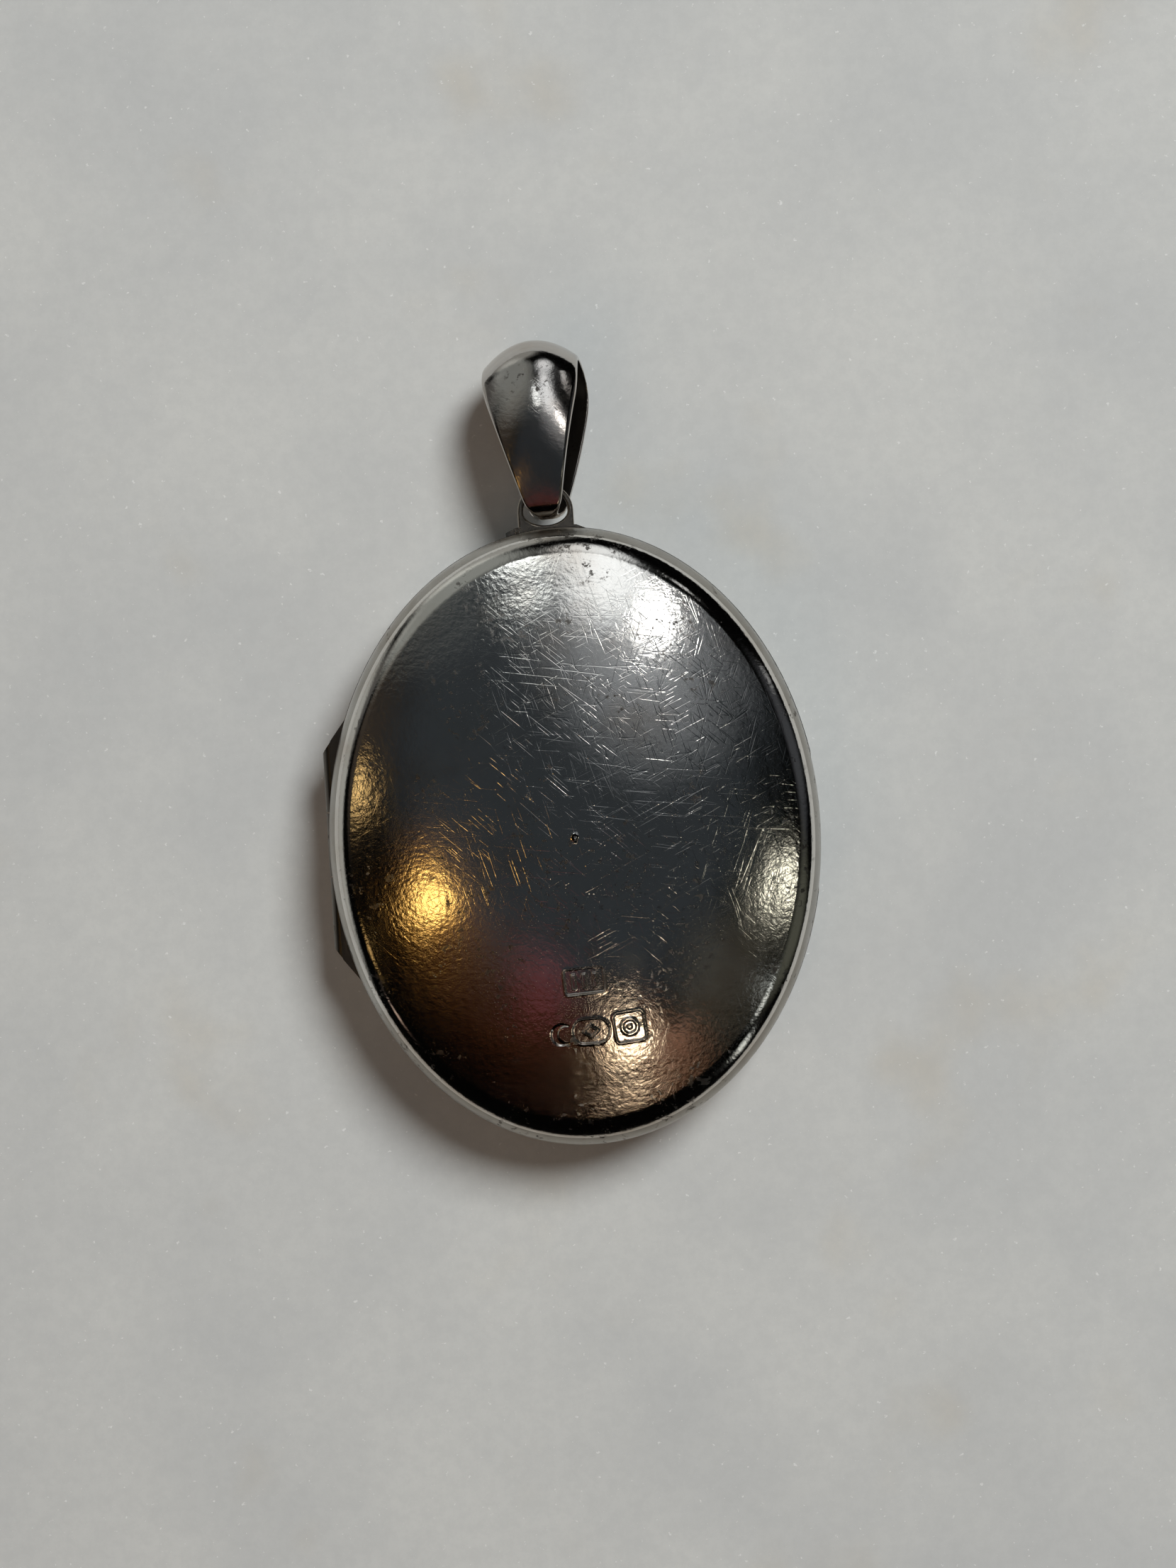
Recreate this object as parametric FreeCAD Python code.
"""An oval silver locket, lying front face down with its plain back uppermost.

The case is two stamped halves on a side hinge. Each half is a domed cover on a rim band, and holds a tray,
a pad, a card, a glass and a lift-out bezel. A loop on the back half's rim carries the folded bail.

Millimetres. +Z is up, out of the back cover. +Y runs from the case to the bail, and the hinge is on the -X side.
The origin is the middle of the flat on the front cover, where the locket rests.
"""

import FreeCAD
import Part
import math
import os

V = FreeCAD.Vector

# The case
CASE_LENGTH = 44.0
CASE_WIDTH = 35.0
HALF_DEPTH = 5.0            # from the seam to the highest point of a cover
SEAM_GAP = 0.04             # each half stops this far short of the seam
SHEET = 0.45                # thickness of the stamped covers
BAND_HEIGHT = 0.9
ROLL_RADIUS = 2.6           # where a cover turns down to its band
FRONT_FLAT_RADIUS = 7.0     # flat middle of the front cover, measured along Y
FLAT_DRESSING = 0.01        # filed off that flat to true it
BACK_BAND_WALL = 0.55
FRONT_BAND_WALL = 0.63
FRONT_BAND_PROUD = 0.16     # the front band stands out a little past the back one
NICK_DEPTH = 0.30           # thumb nick filed on the front band, opposite the hinge
NICK_RADIUS = 80.0          # and its slight roundness along Y

# The closing lip, a strip inside the front band that enters the back half
LIP_WALL = 0.40
LIP_ROOT = 1.3
LIP_RISE = 0.95

# The picture frames, with depths measured from the seam into each half
BEZEL_INSET = 1.10
BEZEL_NEAR = 0.95
BEZEL_FAR = 2.10
BEZEL_LIP = 0.35
BEZEL_LIP_WIDTH = 1.9
BEZEL_WALL = 0.45
BEZEL_TRAVEL = 0.80
GLASS_NEAR = 1.33
GLASS_THICK = 0.45
CARD_THICK = 0.22
PAD_THICK = 0.26
STACK_GAP = 0.02
PANE_GAP = 0.08             # from the edge of a pane to the bezel's wall
TRAY_NEAR = 2.35
TRAY_THICK = 0.35
TRAY_OPENING_INSET = 4.2

# The hinge
HINGE_INSET = 0.35          # the hinge's axis lies this far inside the case's widest point
HINGE_RADIUS = 0.55
HINGE_OPENING = 150.0       # degrees that the filed edges leave free
PIN_RADIUS = 0.28
PIN_CLEARANCE = 0.03
HINGE_CLEARANCE = 0.08
KNUCKLE_GAP = 0.10
MIDDLE_KNUCKLE = 4.5        # length along Y
MIDDLE_KNUCKLE_Y = 0.40     # the middle knuckle sits a little towards the bail
BARREL_LENGTH = 13.9        # where the ends start to taper
HINGE_REACH = 9.4           # from the middle of the hinge to the tips of its tapered ends
BEARER_SETBACK = 0.09
LIP_HINGE_GAP = 9.7         # half the length left out of the closing lip at the hinge

# The loop on the rim, and its foot
LOOP_X = -0.72              # the loop was soldered a little towards the hinge
LOOP_CENTRE = 1.25          # above the rim
LOOP_INNER_RADIUS = 1.58
LOOP_OUTER_RADIUS = 2.00
LOOP_HOLE_DROP = 1.0        # from the loop's centre to the bottom of its hole
LOOP_DEPTH = 0.60
LOOP_RISE = 0.65            # the loop's mid-plane above the seam
LOOP_ROUNDING = 0.16
FOOT_HEIGHT = 0.14
FOOT_HALF_WIDTH = 2.9
FOOT_DEPTH = 1.30

# The bail, measured along its own length from the middle of the loop's top bar
BAIL_SHEET = 0.36
BAIL_SAG = 0.10             # the fold hangs this far below the bar
BAIL_TIP = -2.42
BAIL_TOP = 11.03
BAIL_NOSE_RADIUS = 1.20
BAIL_CROWN_RADIUS = 3.30
BAIL_FACE_BOW = 24.0        # radius of the long faces, seen from the side
BAIL_LOFT_HALF = 3.9        # the side sections stand this far from the middle one
BAIL_SIDE_NOSE_RADIUS = 1.10
BAIL_SIDE_CROWN_RADIUS = 2.20
BAIL_SIDE_DROP = 2.10       # how much lower the crown stands there
BAIL_TIP_RADIUS = 1.42      # the front outline: a round tip, leaning sides and round shoulders
BAIL_SIDE_LEAN = 14.5       # degrees
BAIL_STRAIGHT_TO = 5.5
BAIL_SHOULDER_RADIUS = 10.2
BAIL_TWIST = -3.5           # degrees about its length
BAIL_SKEW = -0.10           # sideways shift of the upper leaf, for each millimetre of height
BAIL_DROOP = -13.5          # degrees below the plane of the case
BAIL_LEAN = 1.5             # degrees towards the hinge

SQUEEZE = CASE_WIDTH / CASE_LENGTH
SEAM_Z = HALF_DEPTH
LONG = CASE_LENGTH / 2
SHORT = CASE_WIDTH / 2
HINGE_X = -SHORT + HINGE_INSET
LOOP_Z = SEAM_Z + LOOP_RISE
BAR = V(LOOP_X, LONG + LOOP_CENTRE + (LOOP_INNER_RADIUS + LOOP_OUTER_RADIUS) / 2, LOOP_Z)


# Helpers

def depth_z(side, depth):
    """The height of a point that lies depth inside the back half (side 1) or the front half (side -1)."""
    return SEAM_Z + side * depth


def slab_z(side, near, far):
    """Lowest and highest Z of a slab from depth near to depth far in one half."""
    return sorted((depth_z(side, near), depth_z(side, far)))


def oval_face(inset):
    """A face bounded by the case's oval, moved inwards by inset."""
    curve = Part.Ellipse(V(0, LONG - inset, 0), V(-(SHORT - inset), 0, 0), V(0, 0, 0))
    return Part.Face(Part.Wire(curve.toShape()))


def oval_slab(inset, low, high):
    face = oval_face(inset)
    face.translate(V(0, 0, low))
    return face.extrude(V(0, 0, high - low))


def oval_ring(outer_inset, inner_inset, low, high):
    return oval_slab(outer_inset, low, high).cut(oval_slab(inner_inset, low - 1, high + 1))


def squeezed(shape):
    """A turned shape, narrowed along X to the case's oval."""
    matrix = FreeCAD.Matrix()
    matrix.scale(SQUEEZE, 1.0, 1.0)
    return shape.transformGeometry(matrix)


def block(x0, x1, y0, y1, z0, z1):
    return Part.makeBox(x1 - x0, y1 - y0, z1 - z0, V(x0, y0, z0))


def rod_along_y(radius, y0, y1):
    """A cylinder on the hinge's axis."""
    return Part.makeCylinder(radius, y1 - y0, V(HINGE_X, y0, SEAM_Z), V(0, 1, 0))


def on_circle(centre, radius, angle):
    return V(centre.x + radius * math.cos(angle), centre.y + radius * math.sin(angle), 0)


def arc(centre, radius, start, end):
    middle = (start + end) / 2
    points = [on_circle(centre, radius, a) for a in (start, middle, end)]
    return Part.Arc(*points).toShape()


def line(p, q):
    return Part.LineSegment(p, q).toShape()


def only_solid(shape):
    """The one solid in a shape, with split faces joined again."""
    solids = shape.removeSplitter().Solids
    assert len(solids) == 1, f"expected one solid, found {len(solids)}"
    return solids[0]


# Covers and bands

def cover_outline(flat, inward):
    """Edges of a cover's section in the (radius, depth) plane, offset inwards, and its end points on the axis
    and at the band. The dome is one arc, tangent to the arc that rolls down to the band."""
    roll_centre = V(LONG - ROLL_RADIUS, BAND_HEIGHT, 0)
    rise = HALF_DEPTH - BAND_HEIGHT
    run = roll_centre.x - flat
    dome_radius = (run ** 2 + rise ** 2 - ROLL_RADIUS ** 2) / (2 * (rise - ROLL_RADIUS))
    dome_centre = V(flat, HALF_DEPTH - dome_radius, 0)
    tangent = math.atan2(roll_centre.y - dome_centre.y, run)
    top = V(0, HALF_DEPTH - inward, 0)
    edges = []
    if flat:
        edges.append(line(top, V(flat, top.y, 0)))
    edges.append(arc(dome_centre, dome_radius - inward, math.pi / 2, tangent))
    edges.append(arc(roll_centre, ROLL_RADIUS - inward, tangent, 0))
    return edges, top, V(LONG - inward, BAND_HEIGHT, 0)


def turned(edges):
    """The solid swept by a closed (radius, depth) outline about the case's axis, squeezed to the oval,
    with depth along +Z from 0."""
    wire = Part.Wire(Part.__sortEdges__(edges))
    wire.rotate(V(0, 0, 0), V(1, 0, 0), 90)
    return squeezed(Part.Face(wire).revolve(V(0, 0, 0), V(0, 0, 1), 360))


def placed_half(shape, side):
    """Moves a shape modelled with depth along +Z into the back half, or mirrors it into the front one."""
    if side < 0:
        shape = shape.mirror(V(0, 0, 0), V(0, 0, 1))
    shape.translate(V(0, 0, SEAM_Z))
    return shape


def cover(side, flat):
    outer, outer_top, outer_end = cover_outline(flat, 0)
    inner, inner_top, inner_end = cover_outline(flat, SHEET)
    section = outer + inner + [line(outer_top, inner_top), line(outer_end, inner_end)]
    return trimmed_for_hinge(placed_half(turned(section), side), side)


def dressed_front_cover():
    """The front cover with its flat filed true, level with the origin."""
    shape = cover(-1, FRONT_FLAT_RADIUS)
    shape.translate(V(0, 0, -FLAT_DRESSING))
    upper = block(-LONG, LONG, -LONG, LONG, 0, SEAM_Z - BAND_HEIGHT)
    return shape.common(upper)


def cover_inside(side, flat):
    """The space inside a cover, from the top of the band to the sheet."""
    inner, top, end = cover_outline(flat, SHEET)
    base = V(0, BAND_HEIGHT, 0)
    return placed_half(turned(inner + [line(top, base), line(base, end)]), side)


def trimmed_for_hinge(shape, side):
    """Files a slope on a half, outwards from the hinge's axis, so that the halves clear each other when open."""
    reach = 3.0
    slope = math.radians(HINGE_OPENING / 2 + 1)
    run = reach * math.cos(slope)
    rise = reach * math.sin(slope)
    axis = V(HINGE_X, -LONG, SEAM_Z)
    corners = [axis, axis + V(-run, 0, side * rise), axis + V(-reach, 0, side * rise), axis + V(-reach, 0, 0)]
    waste = Part.Face(Part.makePolygon(corners + corners[:1])).extrude(V(0, CASE_LENGTH, 0))
    return shape.cut(waste)


def knuckle_spans(side):
    """(from, to) along Y of each knuckle that belongs to a half: the back half has the middle one."""
    low = MIDDLE_KNUCKLE_Y - MIDDLE_KNUCKLE / 2
    high = MIDDLE_KNUCKLE_Y + MIDDLE_KNUCKLE / 2
    if side > 0:
        return [(low, high)]
    return [(-HINGE_REACH, low - KNUCKLE_GAP), (high + KNUCKLE_GAP, HINGE_REACH)]


def hinge_groove(side):
    """What a half loses to the barrel: a close seat for its own knuckles, and room for the other half's."""
    seats = [rod_along_y(HINGE_RADIUS, low, high) for low, high in knuckle_spans(side)]
    room = [rod_along_y(HINGE_RADIUS + HINGE_CLEARANCE, low - KNUCKLE_GAP, high + KNUCKLE_GAP)
            for low, high in knuckle_spans(-side)]
    return Part.makeCompound(seats + room)


def band(side, proud, wall):
    low, high = slab_z(side, SEAM_GAP, BAND_HEIGHT)
    ring = oval_ring(-proud, wall, low, high)
    return trimmed_for_hinge(ring, side).cut(hinge_groove(side))


def thumb_nick():
    """What is filed off the front band's edge, opposite the hinge."""
    middle_x = SHORT + FRONT_BAND_PROUD - NICK_DEPTH
    kept = Part.makeCylinder(NICK_RADIUS, SEAM_Z, V(middle_x - NICK_RADIUS, 0, 0), V(0, 0, 1))
    return block(SHORT / 2, SHORT + 2, -LONG / 2, LONG / 2, 0, SEAM_Z).cut(kept)


def closing_lip():
    inner = FRONT_BAND_WALL + LIP_WALL
    ring = oval_ring(FRONT_BAND_WALL, inner, SEAM_Z - LIP_ROOT, SEAM_Z + LIP_RISE)
    gap = block(-LONG, 0, -LIP_HINGE_GAP, LIP_HINGE_GAP, -1, 2 * HALF_DEPTH)
    return ring.cut(gap)


# The picture frames

def tray(side, flat):
    """An oval shelf soldered inside the cover, with a large opening."""
    low, high = slab_z(side, TRAY_NEAR, TRAY_NEAR + TRAY_THICK)
    disc = oval_slab(0, low, high).common(cover_inside(side, flat))
    return disc.cut(oval_slab(TRAY_OPENING_INSET, low - 1, high + 1))


def pane(side, near, thick):
    low, high = slab_z(side, near, near + thick)
    return oval_slab(BEZEL_INSET + BEZEL_WALL + PANE_GAP, low, high)


def bezel(side):
    """A ring with a flat lip over the glass, and a wall that drops round its edge."""
    low, high = slab_z(side, BEZEL_NEAR, BEZEL_FAR)
    lip_low, lip_high = slab_z(side, BEZEL_NEAR, BEZEL_NEAR + BEZEL_LIP)
    wall = oval_ring(BEZEL_INSET, BEZEL_INSET + BEZEL_WALL, low, high)
    lip = oval_ring(BEZEL_INSET, BEZEL_INSET + BEZEL_LIP_WIDTH, lip_low, lip_high)
    return wall.fuse(lip)


# The hinge

def hinge_taper():
    """What is cut from the hinge's ends, so that they slope back to the case."""
    outer_x = HINGE_X - HINGE_RADIUS
    start_y = BARREL_LENGTH / 2
    inner_x = -SHORT * math.sqrt(1 - (HINGE_REACH / LONG) ** 2)
    slope = (inner_x - outer_x) / (HINGE_REACH - start_y)
    far = LONG
    corners = [V(outer_x - 1, start_y - 1 / slope, 0), V(outer_x + slope * (far - start_y), far, 0),
               V(outer_x - 1, far, 0)]
    face = Part.Face(Part.makePolygon(corners + corners[:1]))
    upper = face.extrude(V(0, 0, 2 * HALF_DEPTH))
    return Part.makeCompound([upper, upper.mirror(V(0, 0, 0), V(0, 1, 0))])


def knuckle(low, high, bore):
    """A tube on the hinge's axis, bored along the straight part of the barrel and solid in a tapered end."""
    rod = rod_along_y(HINGE_RADIUS, low, high)
    return rod.cut(rod_along_y(bore, -BARREL_LENGTH / 2, BARREL_LENGTH / 2)).cut(hinge_taper())


def bearer(side, proud, end):
    """The sliver that fills the gap between the straight hinge and the curved rim, at one end of the hinge."""
    low, high = slab_z(side, SEAM_GAP, BAND_HEIGHT)
    near, far = sorted((0, end * HINGE_REACH))
    strip = block(HINGE_X + BEARER_SETBACK, 0, near, far, low, high)
    strip = strip.cut(oval_slab(-proud, low - 1, high + 1))
    return strip.cut(hinge_groove(side)).cut(hinge_taper())


# The loop and its foot

def loop_foot():
    half = FOOT_HALF_WIDTH
    top = LONG + FOOT_HEIGHT
    corners = [V(-half, LONG - 1, 0), V(-half, LONG - 0.2, 0), V(-LOOP_OUTER_RADIUS - 0.15, top, 0),
               V(LOOP_OUTER_RADIUS + 0.15, top, 0), V(half, LONG - 0.2, 0), V(half, LONG - 1, 0)]
    plate = Part.Face(Part.makePolygon(corners + corners[:1])).extrude(V(0, 0, FOOT_DEPTH))
    plate.translate(V(LOOP_X, 0, LOOP_Z - FOOT_DEPTH / 2))
    return plate.cut(oval_slab(0, 0, 2 * HALF_DEPTH))


def hanging_loop():
    """A flat-sided loop with a round top and a cupped hole, standing in the plane of the case."""
    centre = V(0, LONG + LOOP_CENTRE, 0)
    base = LONG + FOOT_HEIGHT
    left = V(-LOOP_OUTER_RADIUS, centre.y, 0)
    right = V(LOOP_OUTER_RADIUS, centre.y, 0)
    outer = Part.Wire([arc(centre, LOOP_OUTER_RADIUS, 0, math.pi),
                       line(left, V(left.x, base, 0)),
                       line(V(left.x, base, 0), V(right.x, base, 0)),
                       line(V(right.x, base, 0), right)])
    hole_top = arc(centre, LOOP_INNER_RADIUS, 0, math.pi)
    cup = Part.Ellipse(V(LOOP_INNER_RADIUS, centre.y, 0), V(0, centre.y + LOOP_HOLE_DROP, 0), centre)
    hole = Part.Wire([hole_top, Part.ArcOfEllipse(cup, math.pi, 2 * math.pi).toShape()])
    plate = Part.Face(outer).extrude(V(0, 0, LOOP_DEPTH))
    plate = plate.cut(Part.Face(hole).extrude(V(0, 0, LOOP_DEPTH)))
    rims = [e for e in plate.Edges if e.BoundBox.ZLength < 1e-6 and e.BoundBox.YMin > base + 0.01]
    plate = plate.makeFillet(LOOP_ROUNDING, rims)
    plate.translate(V(LOOP_X, 0, LOOP_Z - LOOP_DEPTH / 2))
    return plate


# The bail

def side_section(x, nose_radius, crown_radius, top):
    """The bail's outline seen from the side, at one place across its width: a nose, a crown and two bowed faces
    that are tangent to both. Its length runs along Y and its thickness along Z."""
    nose = V(BAIL_TIP + nose_radius, 0, 0)
    crown = V(top - crown_radius, 0, 0)
    apart = crown.x - nose.x
    to_nose = BAIL_FACE_BOW - nose_radius
    to_crown = BAIL_FACE_BOW - crown_radius
    along = (to_nose ** 2 - to_crown ** 2 + apart ** 2) / (2 * apart)
    bow = V(nose.x + along, -math.sqrt(to_nose ** 2 - along ** 2), 0)
    mirrored_bow = V(bow.x, -bow.y, 0)
    nose_angle = math.atan2(nose.y - bow.y, nose.x - bow.x)
    crown_angle = math.atan2(crown.y - bow.y, crown.x - bow.x)
    wire = Part.Wire([arc(crown, crown_radius, -crown_angle, crown_angle),
                      arc(bow, BAIL_FACE_BOW, crown_angle, nose_angle),
                      arc(nose, nose_radius, nose_angle, 2 * math.pi - nose_angle),
                      arc(mirrored_bow, BAIL_FACE_BOW, -nose_angle, -crown_angle)])
    wire.rotate(V(0, 0, 0), V(1, 0, 0), 90)
    wire.rotate(V(0, 0, 0), V(0, 0, 1), 90)
    wire.translate(V(x, 0, 0))
    return wire


def crowned_tube(inward):
    """The bail's puffed shape across its full width, fuller in the middle than at its open sides."""
    side = (BAIL_SIDE_NOSE_RADIUS, BAIL_SIDE_CROWN_RADIUS, BAIL_TOP - BAIL_SIDE_DROP)
    sections = [side_section(-BAIL_LOFT_HALF, *side),
                side_section(0, BAIL_NOSE_RADIUS, BAIL_CROWN_RADIUS, BAIL_TOP),
                side_section(BAIL_LOFT_HALF, *side)]
    return Part.makeLoft([w.makeOffset2D(-inward) if inward else w for w in sections], True, False)


def bail_front_outline():
    """The bail's outline seen from the front, as a tall block that leans sideways by the skew."""
    lean = math.radians(BAIL_SIDE_LEAN)
    tip_centre = V(0, BAIL_TIP + BAIL_TIP_RADIUS, 0)
    tip_end = on_circle(tip_centre, BAIL_TIP_RADIUS, -lean)
    shoulder = V(tip_end.x + (BAIL_STRAIGHT_TO - tip_end.y) * math.tan(lean), BAIL_STRAIGHT_TO, 0)
    centre = shoulder - V(math.cos(lean), -math.sin(lean), 0) * BAIL_SHOULDER_RADIUS
    top = on_circle(centre, BAIL_SHOULDER_RADIUS, math.asin((BAIL_TOP + 0.5 - centre.y) / BAIL_SHOULDER_RADIUS))
    top_angle = math.atan2(top.y - centre.y, top.x - centre.x)
    right = [line(tip_end, shoulder), arc(centre, BAIL_SHOULDER_RADIUS, -lean, top_angle)]
    left = [edge.mirror(V(0, 0, 0), V(1, 0, 0)) for edge in right]
    tip = arc(tip_centre, BAIL_TIP_RADIUS, math.pi + lean, 2 * math.pi - lean)
    edges = [tip, line(top, V(-top.x, top.y, 0))] + right + left
    tall = V(BAIL_SKEW, 0, 1) * 4 * BAIL_CROWN_RADIUS
    wire = Part.Wire(Part.__sortEdges__(edges))
    wire.translate(tall * -0.5)
    return Part.Face(wire).extrude(tall)


def bail():
    shape = crowned_tube(0).cut(crowned_tube(BAIL_SHEET)).common(bail_front_outline())
    shape.translate(V(0, 0, -BAIL_SAG))
    shape.rotate(V(0, 0, 0), V(0, 1, 0), BAIL_TWIST)
    shape.rotate(V(0, 0, 0), V(1, 0, 0), BAIL_DROOP)
    shape.rotate(V(0, 0, 0), V(0, 0, 1), BAIL_LEAN)
    shape.translate(BAR)
    return shape


# The whole object

def half_nodes(side, word, flat, proud, wall):
    """The nodes that each half has: cover, band and the stack behind its bezel."""
    card_near = GLASS_NEAR + GLASS_THICK + STACK_GAP
    pad_near = card_near + CARD_THICK + STACK_GAP
    return {
        word + "_cover": cover(side, flat),
        word + "_band": band(side, proud, wall),
        word + "_bezel": bezel(side),
        word + "_glass": pane(side, GLASS_NEAR, GLASS_THICK),
        word + "_card": pane(side, card_near, CARD_THICK),
        word + "_pad": pane(side, pad_near, PAD_THICK),
        word + "_tray": tray(side, flat),
        word + "_hinge_bearer_upper": bearer(side, proud, 1),
        word + "_hinge_bearer_lower": bearer(side, proud, -1),
    }


def all_nodes():
    nodes = half_nodes(-1, "front", FRONT_FLAT_RADIUS, FRONT_BAND_PROUD, FRONT_BAND_WALL)
    nodes.update(half_nodes(1, "back", 0, 0, BACK_BAND_WALL))
    nodes["front_cover"] = dressed_front_cover()
    nodes["front_band"] = nodes["front_band"].cut(thumb_nick())
    nodes["closing_lip"] = closing_lip()
    (lower, upper), (middle,) = knuckle_spans(-1), knuckle_spans(1)
    nodes["hinge_knuckle_lower"] = knuckle(*lower, PIN_RADIUS)
    nodes["hinge_knuckle_upper"] = knuckle(*upper, PIN_RADIUS)
    nodes["hinge_knuckle_middle"] = knuckle(*middle, PIN_RADIUS + PIN_CLEARANCE)
    pin_half = BARREL_LENGTH / 2
    nodes["hinge_pin"] = rod_along_y(PIN_RADIUS, -pin_half, pin_half)
    nodes["loop_foot"] = loop_foot()
    nodes["hanging_loop"] = hanging_loop()
    nodes["bail"] = bail()
    return nodes


def main():
    os.makedirs("parts", exist_ok=True)
    for name, shape in all_nodes().items():
        solid = only_solid(shape)
        box = solid.BoundBox
        print(f"{name:24s} valid {solid.isValid()}  volume {solid.Volume:9.3f}  "
              f"z {box.ZMin:6.2f} to {box.ZMax:6.2f}")
        solid.exportStep(f"parts/{name}.step")


main()
